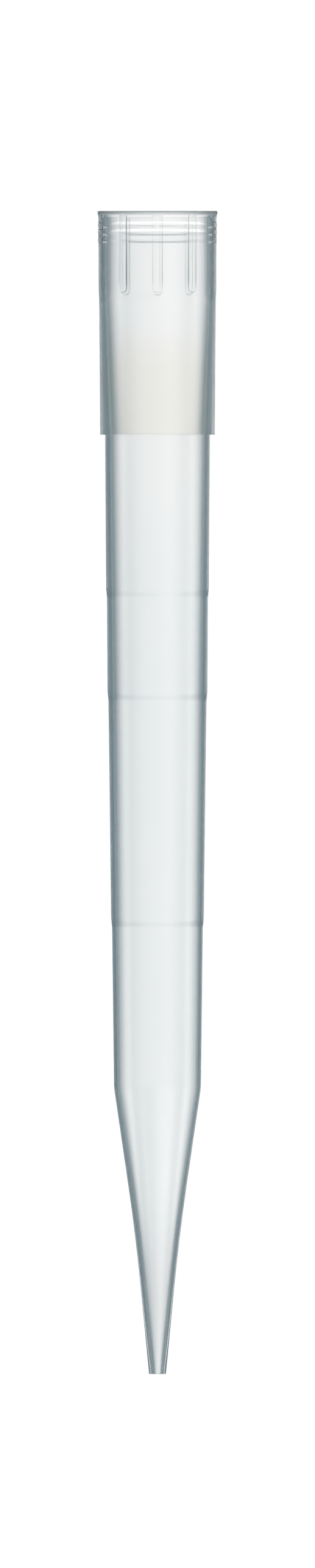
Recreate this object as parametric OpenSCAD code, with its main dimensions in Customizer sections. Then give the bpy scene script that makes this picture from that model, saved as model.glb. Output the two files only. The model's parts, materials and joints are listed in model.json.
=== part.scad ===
// A 5 ml pipette tip, moulded in one piece of clear polypropylene.
// It stands on the rim of its collar with the point up, and its axis is Z.
// Heights are measured from the rim, towards the point.

/* [Overall] */
// Length from the rim to the end of the point
total_len = 143; // [138:1:154]

/* [Collar] */
// Length of the collar
collar_len = 27.5; // [22:0.1:36]
// Outer diameter of the lip round the rim
lip_d = 14.74; // [14.7:0.02:15.2]
// Height at which the lip has run out into the band
lip_h = 0.52; // [0.4:0.02:0.8]
// Outer diameter of the thicker band that carries the rings and ribs, where it leaves the lip
band_top_d = 14.56; // [14.5:0.02:14.6]
// Outer diameter of the band at its other end
band_end_d = 14.5; // [14.44:0.02:14.54]
// Height at which the band ends
band_end_z = 9.5; // [8:0.1:16]
// Outer diameter of the plain collar where the band ends
collar_top_d = 14.36; // [14.3:0.02:14.4]
// Outer diameter of the collar at its far edge, where the barrel starts
collar_end_d = 14.1; // [13.9:0.02:14.2]

/* [Sealing rings] */
// Number of raised rings beyond the lip
ring_count = 3; // [1:1:5]
// Height of the first ring above the rim
ring_first_z = 1.72; // [1.4:0.01:2.4]
// Distance from one ring to the next
ring_pitch = 0.9; // [0.9:0.02:1.2]
// How far a ring stands out of the band
ring_out = 0.065; // [0.055:0.005:0.1]
// Width of a ring at its foot
ring_w = 0.84; // [0.6:0.02:0.86]

/* [Stiffening ribs] */
// Number of ribs round the collar
rib_count = 10; // [6:1:14]
// Width of a rib
rib_w = 1.15; // [0.8:0.05:1.6]
// How far the middle of a rib's flat, upright face stands out of the band at the rim
rib_out = 0.02; // [0.01:0.005:0.04]
// Height at which the rounded end of a rib stops
rib_end_z = 10; // [8:0.1:16]

/* [Socket] */
// Bore of the straight mouth that guides the pipette's nose
mouth_d = 12.96; // [12.92:0.02:13.1]
// Depth of the straight mouth
mouth_depth = 11.1; // [9:0.1:18]
// Bore at the start of the sealing taper
seal_top_d = 12.88; // [12.6:0.02:12.9]
// Bore at the end of the sealing taper, level with the collar's far edge
seal_end_d = 11.76; // [11.6:0.02:12]
// Width of the lead-in bevel at the rim
lead_in = 0.2; // [0.1:0.05:0.3]

/* [Barrel] */
// Outer diameter of the barrel where it leaves the collar
barrel_top_d = 12.9; // [12.8:0.02:13.4]
// Draft of the outside from the collar to the 5 ml mark, in degrees
upper_draft = 0.35; // [0.2:0.05:0.5]
// Draft of the outside from the 5 ml mark to the shoulder, in degrees
lower_draft = 0.71; // [0.5:0.01:0.8]
// Height of the mark nearest the collar
upper_mark_z = 46.3; // [40:0.1:56]
// Height of the 5 ml mark
full_mark_z = 59; // [58:0.1:76]
// Height of the 2.5 ml mark
half_mark_z = 86.9; // [80:0.1:98]
// How far the wall steps in at each mark
mark_step = 0.1; // [0.04:0.01:0.12]
// Length of the ramp at each mark
mark_ramp = 1.1; // [0.1:0.05:1.2]
// Height of the shoulder where the point starts
shoulder_z = 107.8; // [102:0.1:112]
// Wall thickness at the shoulder
shoulder_wall = 0.4; // [0.36:0.02:0.7]
// Radius that rounds the shoulder
shoulder_round = 8; // [2:0.5:14]

/* [Point] */
// Height where the point's taper grows finer
knee_z = 126.3; // [122:0.1:130]
// Outer diameter there
knee_d = 5.3; // [5:0.02:5.8]
// Wall thickness there
knee_wall = 0.42; // [0.38:0.02:0.8]
// Radius that blends the two tapers
knee_round = 280; // [50:10:300]
// Outer diameter at the end of the point
end_d = 2.08; // [1.9:0.02:2.6]
// Diameter of the orifice
orifice_d = 1.1; // [0.6:0.02:1.2]
// Rounding of the end's outer edge
end_round = 0.15; // [0.05:0.05:0.2]

/* [Hidden] */
$fn = 128;

// Small mould radii
edge_round = 0.05;
rim_round = 0.17;
lip_round = 0.5;
band_round = 6;
ring_round = 0.4;
ring_foot_round = 0.2;
mark_round = 0.7;

// The ramp from the band down to the plain collar
band_ramp = 1.4;

// The small ledge between the mouth and the sealing taper
ledge_h = 0.4;

// An arc has a point every so many degrees, and no fewer spans than this
arc_step = 12;
arc_spans = 3;

marks = [upper_mark_z, full_mark_z, half_mark_z];

// The lip's own cylinder is half as high as the whole lip
lip_flat_h = lip_h / 2;

// Ribs start inside the lip
rib_start_z = lip_flat_h;

function unit(v) = v / norm(v);

// The outside of the band at a height, without lip, rings and ribs
band_slope = (band_end_d - band_top_d) / 2 / (band_end_z - lip_h);
function band_r(z) = band_top_d / 2 + band_slope * (z - lip_h);

// Ribs are rooted in the middle of the wall
rib_root_r = (collar_end_d / 2 + mouth_d / 2) / 2;
rib_face_r = band_r(0) + rib_out;

// The outside of the barrel at a height, with some of its marks passed
function barrel_r(z, passed) =
    barrel_top_d / 2
    - tan(upper_draft) * (min(z, full_mark_z) - collar_len)
    - tan(lower_draft) * max(0, z - full_mark_z)
    - mark_step * passed;

// The rounded corner of an outline: at is [radius, height, rounding]
function corner(before, at, after) =
    let (
        p = [at[0], at[1]],
        to_before = unit([before[0], before[1]] - p),
        to_after = unit([after[0], after[1]] - p),
        half = acos(to_before * to_after) / 2,
        centre = p + unit(to_before + to_after) * at[2] / sin(half),
        from = p + to_before * at[2] / tan(half) - centre,
        to = p + to_after * at[2] / tan(half) - centre,
        start = atan2(from.y, from.x),
        turn = (atan2(to.y, to.x) - start + 540) % 360 - 180,
        spans = max(arc_spans, ceil(abs(turn) / arc_step))
    )
    at[2] == 0 ? [p] : [
        for (k = [0 : spans])
            let (angle = start + turn * k / spans)
            centre + at[2] * [cos(angle), sin(angle)]
    ];

function rounded(rows) = [
    for (i = [0 : len(rows) - 1])
        each corner(rows[(i + len(rows) - 1) % len(rows)], rows[i], rows[(i + 1) % len(rows)])
];

// The rings on a surface that has a radius at the rim and a slope
function ring_rows(rim_r, slope) = [
    for (i = [0 : ring_count - 1])
        let (z = ring_first_z + i * ring_pitch, from = z - ring_w / 2, to = z + ring_w / 2)
        each [
            [rim_r + slope * from, from, ring_foot_round],
            [rim_r + slope * z + ring_out, z, ring_round],
            [rim_r + slope * to, to, ring_foot_round],
        ]
];

mark_rows = [
    for (i = [0 : len(marks) - 1])
        each [
            [barrel_r(marks[i], i), marks[i], mark_round],
            [barrel_r(marks[i] + mark_ramp, i + 1), marks[i] + mark_ramp, mark_round],
        ]
];

shoulder_r = barrel_r(shoulder_z, len(marks));

outside_rows = concat(
    [
        [lip_d / 2, 0, rim_round],
        [lip_d / 2, lip_flat_h, lip_round],
        [band_r(lip_h), lip_h, lip_round],
    ],
    ring_rows(band_r(0), band_slope),
    [
        [band_end_d / 2, band_end_z, band_round],
        [collar_top_d / 2, band_end_z + band_ramp, band_round],
        [collar_end_d / 2, collar_len, edge_round],
        [barrel_top_d / 2, collar_len, edge_round],
    ],
    mark_rows,
    [
        [shoulder_r, shoulder_z, shoulder_round],
        [knee_d / 2, knee_z, knee_round],
        [end_d / 2, total_len, end_round],
    ]
);

inside_rows = [
    [orifice_d / 2, total_len, 0],
    [knee_d / 2 - knee_wall, knee_z, knee_round],
    [shoulder_r - shoulder_wall, shoulder_z, shoulder_round],
    [seal_end_d / 2, collar_len, 0],
    [seal_top_d / 2, mouth_depth + ledge_h, 0],
    [mouth_d / 2, mouth_depth, 0],
    [mouth_d / 2, lead_in, 0],
    [mouth_d / 2 + lead_in, 0, 0],
];

// A slab as long as the collar, seen from the side, with the rings along its outer face
slab_rows = concat(
    [
        [rib_root_r, 0, 0],
        [rib_face_r, 0, 0],
    ],
    ring_rows(rib_face_r, 0),
    [
        [rib_face_r, collar_len, 0],
        [rib_root_r, collar_len, 0],
    ]
);

module wall() {
    rotate_extrude()
        polygon(rounded(concat(outside_rows, inside_rows)));
}

// A rib seen from outside: a bar with a round end
module rib_face() {
    translate([-rib_w / 2, rib_start_z])
        square([rib_w, rib_end_z - rib_w / 2 - rib_start_z]);
    translate([0, rib_end_z - rib_w / 2])
        circle(d = rib_w);
}

// Facing along X, a rib is cut from the slab to its outline
module rib() {
    intersection() {
        rotate([90, 0, 0])
            linear_extrude(2 * rib_w, center = true)
                polygon(rounded(slab_rows));
        rotate([90, 0, 90])
            linear_extrude(lip_d)
                rib_face();
    }
}

// The first rib faces backwards along Y
module ribs() {
    for (i = [0 : rib_count - 1])
        rotate(i * 360 / rib_count - 90)
            rib();
}

module tip() {
    color([0.86, 0.9, 0.92, 0.6])
        union() {
            wall();
            ribs();
        }
}

tip();
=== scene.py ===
"""A 5 ml pipette tip moulded in clear polypropylene, standing on the rim of its collar with the point up.

Clear plastic is seen through both of its surfaces, so the frame's one node is replaced by a fine mesh of the same
wall: an outside, an inside and the rounded edges between them, with smooth normals, on which light bends cleanly.
"""

import json
import math

import bpy
import numpy as np
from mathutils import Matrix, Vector


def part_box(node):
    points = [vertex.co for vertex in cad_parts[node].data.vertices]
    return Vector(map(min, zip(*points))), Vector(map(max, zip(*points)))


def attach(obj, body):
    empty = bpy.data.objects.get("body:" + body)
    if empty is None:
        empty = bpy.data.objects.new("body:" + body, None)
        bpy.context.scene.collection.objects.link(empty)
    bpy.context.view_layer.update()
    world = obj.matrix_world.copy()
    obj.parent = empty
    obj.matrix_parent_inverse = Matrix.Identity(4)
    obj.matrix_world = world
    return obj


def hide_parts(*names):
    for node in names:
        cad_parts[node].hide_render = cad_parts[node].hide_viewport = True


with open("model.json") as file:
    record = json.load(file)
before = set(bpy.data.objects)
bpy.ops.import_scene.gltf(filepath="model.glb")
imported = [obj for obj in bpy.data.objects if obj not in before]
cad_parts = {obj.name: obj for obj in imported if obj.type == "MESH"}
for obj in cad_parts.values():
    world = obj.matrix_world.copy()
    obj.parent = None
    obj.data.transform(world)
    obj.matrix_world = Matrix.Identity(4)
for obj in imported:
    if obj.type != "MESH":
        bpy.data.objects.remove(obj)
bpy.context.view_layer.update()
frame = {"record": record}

MM = 0.001

# ---------------------------------------------------------------- sizes in millimetres, heights from the rim
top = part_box("tip")[1]
mounts = {mount["name"]: mount for mount in frame["record"]["mounts"]}

LENGTH = top.z / MM
MOUTH_R = mounts["socket"]["dims"]["r_mm"]
MOUTH_DEPTH = 11.1
LEAD_IN = 0.2
LEDGE_H = 0.4
SEAL_TOP_R = 6.44
SEAL_END_R = 5.88

LIP_R = top.x / MM
LIP_H = 0.52
LIP_FLAT_H = LIP_H / 2
# the lip reaches a little beyond its own height, which keeps the line at the first ring's foot dark
LIP_RUN_OUT = 0.8

COLLAR_LEN = 27.5
BAND_TOP_R = 7.28
BAND_END_R = 7.25
BAND_END_Z = 9.5
BAND_RAMP = 1.4
COLLAR_TOP_R = 7.18
COLLAR_END_R = 7.05
COLLAR_STEP_H = 0.01

RINGS = 3
RING_FIRST_Z = 1.72
RING_PITCH = 0.9
RING_OUT = 0.065
RING_W = 0.84

RIBS = 10
FIRST_RIB = -math.pi / 2
RIB_W = 1.15
RIB_OUT = 0.02
RIB_END_Z = 10.0
RIB_CENTRE_Z = RIB_END_Z - RIB_W / 2
# a rib's edges are soft over this width, and its end sinks to a share of its height over this length
RIB_EDGE = 0.24
RIB_FADE = 1.6
RIB_END_SHARE = 0.5

BARREL_TOP_R = 6.45
UPPER_SLOPE = math.tan(math.radians(0.35))
LOWER_SLOPE = math.tan(math.radians(0.71))
MARKS = (46.3, 59.0, 86.9)
FULL_MARK = MARKS[1]
MARK_STEP = 0.1
MARK_RAMP = 1.1

SHOULDER_Z = 107.8
SHOULDER_WALL = 0.4
KNEE_Z = 126.3
KNEE_R = 2.65
KNEE_WALL = 0.42
END_R = 1.04
ORIFICE_R = 0.55

# roundings of the outline's corners
RIM_ROUND = 0.17
LIP_ROUND = 0.5
RING_ROUND = 0.4
RING_FOOT_ROUND = 0.2
BAND_ROUND = 6.0
STEP_ROUND = 0.01
MARK_ROUND = 0.7
SHOULDER_ROUND = 8.0
KNEE_ROUND = 280.0
END_ROUND = 0.15
ORIFICE_ROUND = 0.08
SEAL_END_ROUND = 20.0
LEDGE_ROUND = 1.5
LEAD_IN_ROUND = 0.1
FACE_ROUND = 0.05


def band_r(z):
    share = (z - LIP_H) / (BAND_END_Z - LIP_H)
    return BAND_TOP_R + (BAND_END_R - BAND_TOP_R) * share


def barrel_r(z, passed):
    """The outside of the barrel at a height, with some of its marks passed."""
    return (
        BARREL_TOP_R
        - UPPER_SLOPE * (min(z, FULL_MARK) - COLLAR_LEN)
        - LOWER_SLOPE * max(0.0, z - FULL_MARK)
        - MARK_STEP * passed
    )


# ---------------------------------------------------------------- the wall's outline
ARC_STEP = math.radians(7.5)
LEAST_SPANS = 4
# an arc may use this much of the side next to it
MOST_REACH = 0.9


def outline():
    """Corners (radius, height, rounding) up the outside and back down the inside."""
    rows = [
        (LIP_R, 0.0, RIM_ROUND),
        (LIP_R, LIP_FLAT_H, LIP_ROUND),
        (band_r(LIP_RUN_OUT), LIP_RUN_OUT, LIP_ROUND),
    ]
    for i in range(RINGS):
        z = RING_FIRST_Z + i * RING_PITCH
        rows += [
            (band_r(z - RING_W / 2), z - RING_W / 2, RING_FOOT_ROUND),
            (band_r(z) + RING_OUT, z, RING_ROUND),
            (band_r(z + RING_W / 2), z + RING_W / 2, RING_FOOT_ROUND),
        ]
    rows += [
        (BAND_END_R, BAND_END_Z, BAND_ROUND),
        (COLLAR_TOP_R, BAND_END_Z + BAND_RAMP, BAND_ROUND),
        (COLLAR_END_R, COLLAR_LEN, STEP_ROUND),
        (BARREL_TOP_R, COLLAR_LEN + COLLAR_STEP_H, STEP_ROUND),
    ]
    for passed, z in enumerate(MARKS):
        rows += [
            (barrel_r(z, passed), z, MARK_ROUND),
            (barrel_r(z + MARK_RAMP, passed + 1), z + MARK_RAMP, MARK_ROUND),
        ]
    shoulder_r = barrel_r(SHOULDER_Z, len(MARKS))
    rows += [
        (shoulder_r, SHOULDER_Z, SHOULDER_ROUND),
        (KNEE_R, KNEE_Z, KNEE_ROUND),
        (END_R, LENGTH, END_ROUND),
        (ORIFICE_R, LENGTH, ORIFICE_ROUND),
        (KNEE_R - KNEE_WALL, KNEE_Z, KNEE_ROUND),
        (shoulder_r - SHOULDER_WALL, SHOULDER_Z, SHOULDER_ROUND),
        (SEAL_END_R, COLLAR_LEN, SEAL_END_ROUND),
        (SEAL_TOP_R, MOUTH_DEPTH + LEDGE_H, LEDGE_ROUND),
        (MOUTH_R, MOUTH_DEPTH, LEDGE_ROUND),
        (MOUTH_R, LEAD_IN, LEAD_IN_ROUND),
        (MOUTH_R + LEAD_IN, 0.0, FACE_ROUND),
    ]
    return rows


def rounded(rows):
    """Points of the closed outline with every corner turned by an arc, and the outward normal at each."""
    points, normals = [], []
    for i, (r, z, radius) in enumerate(rows):
        here = np.array([r, z])
        before = np.array(rows[i - 1][:2])
        after = np.array(rows[(i + 1) % len(rows)][:2])
        a = (here - before) / np.linalg.norm(here - before)
        b = (after - here) / np.linalg.norm(after - here)
        turn = math.atan2(a[0] * b[1] - a[1] * b[0], a @ b)
        reach = radius * math.tan(abs(turn) / 2)
        for side in (here - before, after - here):
            assert reach < MOST_REACH * np.linalg.norm(side), (i, r, z, reach)
        way_round = math.copysign(1.0, turn)
        start = here - a * reach
        centre = start + way_round * radius * np.array([-a[1], a[0]])
        spans = max(LEAST_SPANS, math.ceil(abs(turn) / ARC_STEP))
        first = math.atan2(a[1], a[0])
        for k in range(spans + 1):
            way = first + turn * k / spans
            normal = np.array([math.sin(way), -math.cos(way)])
            points.append(centre + way_round * radius * normal)
            normals.append(normal)
    return np.array(points), np.array(normals)


# ---------------------------------------------------------------- the mesh
# the heights between which the ribs carry the rings
RINGS_CLEAR = RING_W / 2 + 0.1
RINGS_FROM = RING_FIRST_Z - RINGS_CLEAR
RINGS_TO = RING_FIRST_Z + (RINGS - 1) * RING_PITCH + RINGS_CLEAR

# the ribs' part of the outline: outside this radius, below this height, and not facing inwards
OUTSIDE_R = MOUTH_R + 0.3
RIBS_TO = RIB_END_Z + 0.2
LEAST_OUTWARD = -0.2

# columns: across a rib's edge, on top of the rib, and in the gap up to half way to the next rib
EDGE_OFFSETS = RIB_EDGE * np.array([-0.5, -0.33, -0.17, 0.0, 0.17, 0.33, 0.5])
TOP_SHARES = np.array([0.0, 0.45, 0.85])
GAP_SHARES = np.array([0.1, 0.25, 0.42, 0.6, 0.8, 1.0])
LEAST_GAP = 0.004
LEAST_HALF_TOP = LEAST_GAP * 3

# the outside has extra rows where the ribs end: on their round ends, at steps of so many degrees, and close to them.
# they go only into stretches that rise by enough, and stay clear of the rows that are there
END_STEP = 9.0
ROWS_NEAR_END = (RIB_CENTRE_Z - 1.0, RIBS_TO, RIB_END_Z + 0.5)
LEAST_RISE = 0.1
ROW_CLEAR = 0.01

# a straight wall longer than this is cut into rows about this far apart, for even shading
LONG_WALL = 6
LONG_ROWS = 4

# for the ribs' normals: a step to measure slopes over, and the least that the bare wall counts as facing outwards
SLOPE_STEP = 1e-4
LEAST_FACING = 0.2


def smoothstep(x):
    x = np.clip(x, 0.0, 1.0)
    return x * x * (3 - 2 * x)


def rib_share(u, z):
    """How much of a rib stands at u along the round from its middle, at a height: 1 on top and 0 beside it."""
    past = np.maximum(z - RIB_CENTRE_Z, 0.0)
    outside = np.sqrt(u * u + past * past) - RIB_W / 2
    return smoothstep(0.5 - outside / RIB_EDGE)


def half_columns(z, half_pitch):
    """Distances along the round from a rib's middle to half way to the next one. They follow the rib's edge."""
    past = max(z - RIB_CENTRE_Z, 0.0)
    if z > RIB_END_Z + RIB_EDGE:
        past = 0.0
    edge = [math.sqrt(max((RIB_W / 2 + offset) ** 2 - past**2, 0.0)) for offset in EDGE_OFFSETS]
    columns = [share * max(edge[0], LEAST_HALF_TOP) for share in TOP_SHARES] + edge
    for k in range(1, len(columns)):
        columns[k] = max(columns[k], columns[k - 1] + LEAST_GAP)
    last = columns[-1]
    return np.array(columns + [last + share * (half_pitch - last) for share in GAP_SHARES])


def outline_rows():
    """The outline as rows (radius, height, outward normal), with more where the ribs end and on long walls."""
    points, normals = rounded(outline())
    turns = np.radians(np.arange(0.0, 90.0, END_STEP))
    on_end = RIB_CENTRE_Z + (RIB_W / 2 - RIB_EDGE / 2) * np.sin(turns)
    extra = sorted([*on_end, *(RIB_END_Z + EDGE_OFFSETS), *ROWS_NEAR_END])
    rows = []
    for i, (here, facing) in enumerate(zip(points, normals)):
        rows.append((*here, *facing))
        after, facing_after = points[(i + 1) % len(points)], normals[(i + 1) % len(points)]
        span = np.linalg.norm(after - here)
        rise = after[1] - here[1]
        cuts = []
        if here[0] > OUTSIDE_R and rise > LEAST_RISE:
            cuts = [(z - here[1]) / rise for z in extra if here[1] + ROW_CLEAR < z < after[1] - ROW_CLEAR]
        if not cuts and span > LONG_WALL:
            count = int(span / LONG_ROWS)
            cuts = np.arange(1, count) / count
        for t in cuts:
            normal = facing + (facing_after - facing) * t
            rows.append((*(here + (after - here) * t), *(normal / np.linalg.norm(normal))))
    return rows


def tip_mesh():
    """Vertices in metres, their normals and the faces, by turning the outline's rows and raising the ribs."""
    pitch = 2 * math.pi / RIBS
    verts, norms = [], []
    rows = outline_rows()
    for r, z, nr, nz in rows:
        ribbed = r > OUTSIDE_R and LIP_FLAT_H <= z < RIBS_TO and nr > LEAST_OUTWARD
        half = half_columns(z if r > OUTSIDE_R else 0.0, pitch / 2 * LIP_R)
        local = np.concatenate([-half[:0:-1], half[:-1]]) / LIP_R
        theta = (np.arange(RIBS)[:, None] * pitch + local[None, :]).ravel() + FIRST_RIB
        u = np.tile(local * LIP_R, RIBS)
        fade = 1 - (1 - RIB_END_SHARE) * smoothstep((z - RIB_END_Z + RIB_FADE) / RIB_FADE)
        # a rib's face is flat and upright, so it rises towards its long edges, and the rings pass over it
        ringed = RINGS_FROM < z < RINGS_TO
        face = (band_r(0.0) + RIB_OUT) / np.cos(u / LIP_R)
        bare = band_r(z) if ringed else r
        rise = np.maximum(face - bare, 0.0) * fade if ribbed else np.zeros_like(u)
        share = rib_share(u, z)
        radius = r + rise * share
        cos, sin = np.cos(theta), np.sin(theta)
        verts.append(np.stack([radius * cos, radius * sin, np.full(theta.shape, z)], 1))
        normal = np.stack([nr * cos, nr * sin, np.full(theta.shape, nz)], 1)
        if rise.max() > 0:
            d = SLOPE_STEP
            share_u = (rib_share(u + d, z) - rib_share(u - d, z)) / (2 * d)
            share_z = (rib_share(u, z + d) - rib_share(u, z - d)) / (2 * d)
            slope_t = (rise * share_u + (rise > 0) * fade * np.tan(u / LIP_R) * share) * LIP_R / radius
            slope_z = -nz / max(nr, LEAST_FACING) * (1.0 if ringed else 1 - share) + rise * share_z
            normal = np.stack([cos + slope_t * sin, sin - slope_t * cos, -slope_z], 1)
        norms.append(normal / np.linalg.norm(normal, axis=1, keepdims=True))
    columns = len(verts[0])
    faces = []
    for i in range(len(rows)):
        a, b = i * columns, (i + 1) % len(rows) * columns
        for k in range(columns):
            j = (k + 1) % columns
            faces.append((a + k, a + j, b + j, b + k))
    return np.concatenate(verts) * MM, np.concatenate(norms), faces


def placed(name, data):
    """A new object in the scene."""
    made = bpy.data.objects.new(name, data)
    bpy.context.scene.collection.objects.link(made)
    return made


verts, norms, faces = tip_mesh()
mesh = bpy.data.meshes.new("tip_wall")
mesh.from_pydata(verts.tolist(), [], faces)
mesh.polygons.foreach_set("use_smooth", [True] * len(faces))
mesh.update()
mesh.validate()
mesh.normals_split_custom_set_from_vertices(norms.tolist())
tip = placed("tip_wall", mesh)


# ---------------------------------------------------------------- node trees
class Tree:
    """The emptied node tree of a material or a world, with a method for each kind of step in it."""

    def __init__(self, owner):
        owner.use_nodes = True
        self.nodes = owner.node_tree.nodes
        self.nodes.clear()
        self.link = owner.node_tree.links.new

    def add(self, kind, **settings):
        node = self.nodes.new(kind)
        for key, value in settings.items():
            setattr(node, key, value)
        return node

    def plug(self, value, socket):
        """Links an output to the socket, or sets the socket to a number or colour."""
        if isinstance(value, bpy.types.NodeSocket):
            self.link(value, socket)
        else:
            socket.default_value = value

    def spots(self, kind):
        """Texture coordinates of a kind."""
        return self.add("ShaderNodeTexCoord").outputs[kind]

    def split(self, vector):
        """A vector's x, y and z."""
        node = self.add("ShaderNodeSeparateXYZ")
        self.link(vector, node.inputs[0])
        return tuple(node.outputs)

    def maths(self, operation, *values):
        node = self.add("ShaderNodeMath", operation=operation)
        for value, socket in zip(values, node.inputs):
            self.plug(value, socket)
        return node.outputs[0]

    def ramp(self, value, low, high, a, b):
        """Goes smoothly from a to b while the value goes from low to high."""
        node = self.add("ShaderNodeMapRange", interpolation_type="SMOOTHSTEP")
        keys = ("Value", "From Min", "From Max", "To Min", "To Max")
        for key, x in zip(keys, (value, low, high, a, b)):
            self.plug(x, node.inputs[key])
        return node.outputs["Result"]

    def blend(self, factor, a, b, clamp=True):
        """A colour between a and b, each a colour or an output."""
        node = self.add("ShaderNodeMix", data_type="RGBA", clamp_factor=clamp)
        self.link(factor, node.inputs["Factor"])
        self.plug(a, node.inputs[6])
        self.plug(b, node.inputs[7])
        return node.outputs[2]

    def mix(self, factor, a, b):
        """A shader between two."""
        node = self.add("ShaderNodeMixShader")
        for value, socket in zip((factor, a, b), node.inputs):
            self.link(value, socket)
        return node.outputs[0]

    def surface(self, shader, kind="ShaderNodeOutputMaterial"):
        """The tree's result."""
        self.link(shader, self.add(kind).inputs["Surface"])


def rgba(red, green, blue):
    return (red, green, blue, 1.0)


WHITE = rgba(1.0, 1.0, 1.0)

# ---------------------------------------------------------------- clear polypropylene
# the thick part of the collar is a little warmer, the barrel a little cooler, and the point a little deeper in
# colour. Each pair of heights is where such a change begins and where it is complete
WARM_STARTS = (13.0, 20.0)
WARM_ENDS = (27.3, 27.6)
COOL_STARTS = (30.0, 48.0)
DEEP_STARTS = (118.0, 136.0)
# each pair of colours is the darker and the lighter of the clouds in the melt
PLAIN = ((0.968, 0.977, 0.977), (0.986, 0.990, 0.989))
WARM = ((0.950, 0.948, 0.922), (0.964, 0.963, 0.941))
COOL = ((0.945, 0.965, 0.970), (0.965, 0.980, 0.982))
DEEP = ((0.888, 0.907, 0.914), (0.907, 0.921, 0.925))
# the plastic's roughness goes between these over the middle part of its noise, and the satin rim adds to it
ROUGHNESS = (0.06, 0.1)
NOISE_MIDDLE = (0.3, 0.7)
SATIN = 0.4
SATIN_ENDS = (0.3, 0.55)
BUMP_DEPTH = 0.002

plastic = bpy.data.materials.new("clear_polypropylene")
skin = Tree(plastic)
shader = skin.add("ShaderNodeBsdfPrincipled")
shader.inputs["IOR"].default_value = 1.49
shader.inputs["Transmission Weight"].default_value = 0.955
shader.inputs["Specular IOR Level"].default_value = 0.35
skin.surface(shader.outputs["BSDF"])
on_part = skin.spots("Object")
height = skin.split(on_part)[2]


def noise(stretch, scale, detail, seed):
    """Noise in the object's own space, drawn out along the axis, as the melt flowed."""
    moved = skin.add("ShaderNodeMapping")
    moved.inputs["Location"].default_value = (seed, seed * 2, seed * 3)
    moved.inputs["Scale"].default_value = (1.0, 1.0, 1.0 / stretch)
    skin.link(on_part, moved.inputs["Vector"])
    node = skin.add("ShaderNodeTexNoise")
    node.inputs["Scale"].default_value = scale
    node.inputs["Detail"].default_value = detail
    skin.link(moved.outputs["Vector"], node.inputs["Vector"])
    return node.outputs["Fac"]


def along(heights, a, b):
    """Goes from a to b between two heights of the part."""
    return skin.ramp(height, heights[0] * MM, heights[1] * MM, a, b)


clouds = noise(stretch=3.0, scale=160.0, detail=3.0, seed=0.3)
plain, warm, cool, deep = (skin.blend(clouds, rgba(*a), rgba(*b)) for a, b in (PLAIN, WARM, COOL, DEEP))
in_collar = skin.maths("MULTIPLY", along(WARM_STARTS, 0.0, 1.0), along(WARM_ENDS, 1.0, 0.0))
colour = skin.blend(along(COOL_STARTS, 0.0, 1.0), plain, cool)
colour = skin.blend(along(DEEP_STARTS, 0.0, 1.0), colour, deep)
skin.link(skin.blend(in_collar, colour, warm), shader.inputs["Base Color"])

# the rim is satin, where the mould parts and the ejector bears
gloss = skin.ramp(noise(stretch=8.0, scale=420.0, detail=4.0, seed=0.7), *NOISE_MIDDLE, *ROUGHNESS)
skin.link(skin.maths("ADD", gloss, along(SATIN_ENDS, SATIN, 0.0)), shader.inputs["Roughness"])

bump = skin.add("ShaderNodeBump")
bump.inputs["Strength"].default_value = 1.0
bump.inputs["Distance"].default_value = BUMP_DEPTH * MM
skin.link(noise(stretch=14.0, scale=600.0, detail=1.0, seed=1.1), bump.inputs["Height"])
skin.link(bump.outputs["Normal"], shader.inputs["Normal"])
mesh.materials.append(plastic)

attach(tip, "root")
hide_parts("tip")

# ---------------------------------------------------------------- floor: a pale disc that fades out at its edge
FLOOR_R = 0.6
FLOOR_DROP = 0.0001
FLOOR_SIDES = 96
FLOOR_FADE = (0.08, 0.26)
FLOOR_GREY = rgba(0.9, 0.9, 0.9)
FLOOR_GLOW = 0.42

around = np.linspace(0, 2 * math.pi, FLOOR_SIDES, endpoint=False)
disc = [(FLOOR_R * math.cos(a), FLOOR_R * math.sin(a), -FLOOR_DROP) for a in around]
floor_mesh = bpy.data.meshes.new("floor")
floor_mesh.from_pydata(disc, [], [tuple(range(FLOOR_SIDES))])
floor = placed("floor", floor_mesh)
# through its walls the plastic shows the studio's own light from below, and not the near edge of this disc
floor.visible_transmission = False
floor.visible_glossy = False

pale = bpy.data.materials.new("pale_floor")
paper = Tree(pale)
from_middle = paper.add("ShaderNodeVectorMath", operation="LENGTH")
paper.link(paper.spots("Object"), from_middle.inputs[0])
fade = paper.ramp(from_middle.outputs["Value"], *FLOOR_FADE, 0.0, 1.0)
matt = paper.add("ShaderNodeBsdfDiffuse")
matt.inputs["Color"].default_value = FLOOR_GREY
glow = paper.add("ShaderNodeEmission")
glow.inputs["Strength"].default_value = FLOOR_GLOW
lit = paper.add("ShaderNodeAddShader")
paper.link(matt.outputs[0], lit.inputs[0])
paper.link(glow.outputs[0], lit.inputs[1])
clear = paper.add("ShaderNodeBsdfTransparent")
paper.surface(paper.mix(fade, lit.outputs[0], clear.outputs[0]))
floor_mesh.materials.append(pale)

# ---------------------------------------------------------------- light: soft boxes with gaps, over a pale ground
# in degrees: azimuth 0 is behind the part and 180 is the main camera's side, and elevations are from level
CORE_WIDTH, CORE_FLATNESS, CORE_SHARE = 13.0, 1.4, 0.85
SKIRT_WIDTH = 28.0
# the azimuth of each box, and the elevation down to which it is at full strength
BOXES = ((-2.0, -4.0), (90.0, -16.0), (-90.0, -16.0))
BOX_TOP = 14.0
UPPER_HALF = 9.0
TOP_FADE = 8
# the azimuths of the lit patches of ground beside the part
PATCHES = (45.0, 90.0, 135.0, -45.0, -90.0, -135.0)
ROOM = rgba(0.074, 0.149, 0.184)
STUDIO_LEVEL = 0.98
BACKDROP_LEVEL = 1.02

world = bpy.data.worlds.new("studio")
bpy.context.scene.world = world
sky = Tree(world)
sky_x, sky_y, sky_z = sky.split(sky.spots("Generated"))
azimuth = sky.maths("ARCTAN2", sky_x, sky_y)


def up(degrees):
    """An elevation as a height on the sky."""
    return math.sin(math.radians(degrees))


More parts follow.
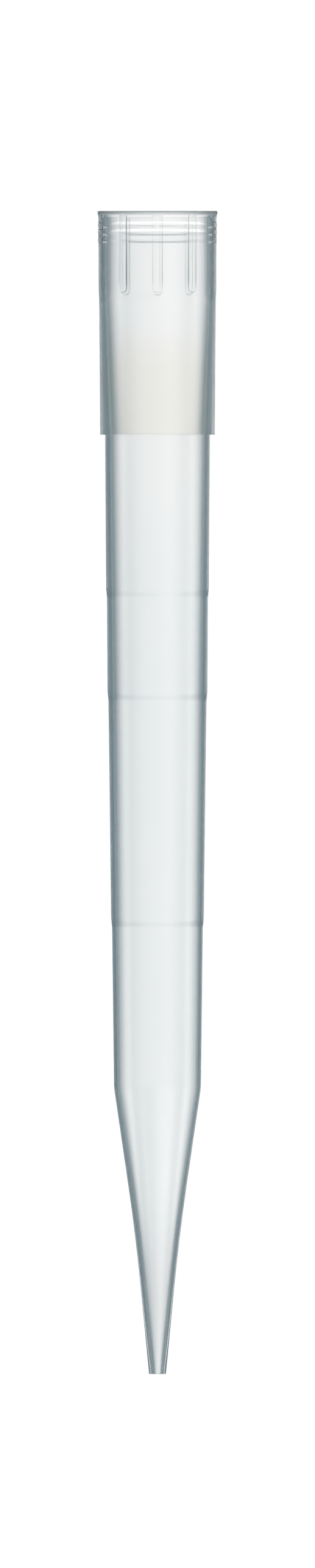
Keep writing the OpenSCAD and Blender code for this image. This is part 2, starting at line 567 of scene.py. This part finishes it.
def fall_off(toward, width, flatness=1.0):
    """A smooth bump round an azimuth: 1 in the middle and about a third at width degrees from it."""
    away = sky.maths("COSINE", sky.maths("SUBTRACT", azimuth, math.radians(toward)))
    apart = sky.maths("MULTIPLY", sky.maths("SUBTRACT", 1.0, away), 2 / math.radians(width) ** 2)
    return sky.maths("EXPONENT", sky.maths("MULTIPLY", sky.maths("POWER", apart, flatness), -1.0))


def box(toward):
    """Sideways, a soft box has a flat bright core and a faint wide skirt."""
    core = sky.maths("MULTIPLY", fall_off(toward, CORE_WIDTH, CORE_FLATNESS), CORE_SHARE)
    skirt = sky.maths("MULTIPLY", fall_off(toward, SKIRT_WIDTH), 1 - CORE_SHARE)
    return sky.maths("ADD", core, skirt)


def tall(sideways, low, high, strength, soft):
    """Light that falls off sideways, kept between two elevations and soft by some degrees under the lower one."""
    above = sky.ramp(sky_z, up(low - soft), up(low), 0.0, strength)
    below = sky.ramp(sky_z, up(high), up(high + TOP_FADE), 1.0, 0.0)
    return sky.maths("MULTIPLY", sky.maths("MULTIPLY", sideways, above), below)


def ground(full, gone, strength=0.97):
    """Light from the pale ground: full below the first elevation and gone above the second."""
    return sky.ramp(sky_z, up(full), up(gone), strength, 0.0)


def patch(sideways, full, gone):
    """The ground's light where it falls off sideways."""
    return sky.maths("MULTIPLY", sideways, ground(full, gone))


# a box behind the part and one at each side, each brighter in its upper half, which lights the rings' upper flanks;
# the one behind ends early, which darkens their lower flanks
lights = []
for toward, low in BOXES:
    lights.append(tall(box(toward), low, BOX_TOP, strength=1.05, soft=8.5))
    lights.append(tall(box(toward), UPPER_HALF, BOX_TOP, strength=1.5, soft=9.0))
# the ground: patches with gaps up to near the horizon, so that edges show, and all the way round far below it
lights += [patch(box(toward), full=-14.5, gone=-6.5) for toward in PATCHES]
lights.append(patch(box(0.0), full=-10.0, gone=-9.0))
lights.append(patch(fall_off(180.0, 40.0), full=-8.0, gone=-1.0))
lights.append(ground(full=-22.0, gone=-14.0, strength=0.35))
lights.append(ground(full=-65.0, gone=-50.0))
# a broad box behind the camera's shoulder, the ceiling, and the room's haze, which grows upwards past the horizon
lights.append(tall(fall_off(-153.0, 32.0), -6.0, 40.0, strength=1.7, soft=4.0))
lights.append(sky.ramp(sky_z, 0.85, 0.97, 0.0, 1.0))
lights.append(sky.ramp(sky_z, -0.22, 0.22, 0.0, 0.14))
bright = lights[0]
for light in lights[1:]:
    bright = sky.maths("MAXIMUM", bright, light)

studio = sky.add("ShaderNodeBackground")
sky.link(sky.blend(bright, ROOM, WHITE, clamp=False), studio.inputs["Color"])
studio.inputs["Strength"].default_value = STUDIO_LEVEL
# the camera itself sees a plain white backdrop
backdrop = sky.add("ShaderNodeBackground")
backdrop.inputs["Color"].default_value = WHITE
backdrop.inputs["Strength"].default_value = BACKDROP_LEVEL
seen = sky.add("ShaderNodeLightPath").outputs["Is Camera Ray"]
sky.surface(sky.mix(seen, studio.outputs[0], backdrop.outputs[0]), "ShaderNodeOutputWorld")

KEY_FROM = (-0.9, -0.9, 0.9)
KEY_SIDE = 0.8
KEY_WATTS = 2.0
KEY_COLOUR = (1.0, 0.99, 0.97)

key = bpy.data.lights.new("key", "AREA")
key.shape = "RECTANGLE"
key.size = key.size_y = KEY_SIDE
key.energy = KEY_WATTS
key.color = KEY_COLOUR
lamp = placed("key", key)
lamp.location = KEY_FROM
middle = Vector((0.0, 0.0, top.z / 2))
lamp.rotation_euler = (lamp.location - middle).to_track_quat("Z", "Y").to_euler()

# ---------------------------------------------------------------- camera: level, and turned over as the part hangs
FRAME_HEIGHT = 0.19276
FRAME_MIDDLE_Z = 0.07045
CAMERA_AWAY = 1.0

view = bpy.data.cameras.new("camera")
view.type = "ORTHO"
view.ortho_scale = FRAME_HEIGHT
view.clip_end = 10.0
camera = placed("camera", view)
camera.location = (0.0, -CAMERA_AWAY, FRAME_MIDDLE_Z)
camera.rotation_euler = (math.pi / 2, math.pi, 0.0)
bpy.context.scene.camera = camera
bpy.context.scene.view_settings.view_transform = "Standard"
bpy.context.scene.cycles.max_bounces = 24
bpy.context.scene.cycles.transmission_bounces = 16
bpy.context.scene.cycles.glossy_bounces = 8
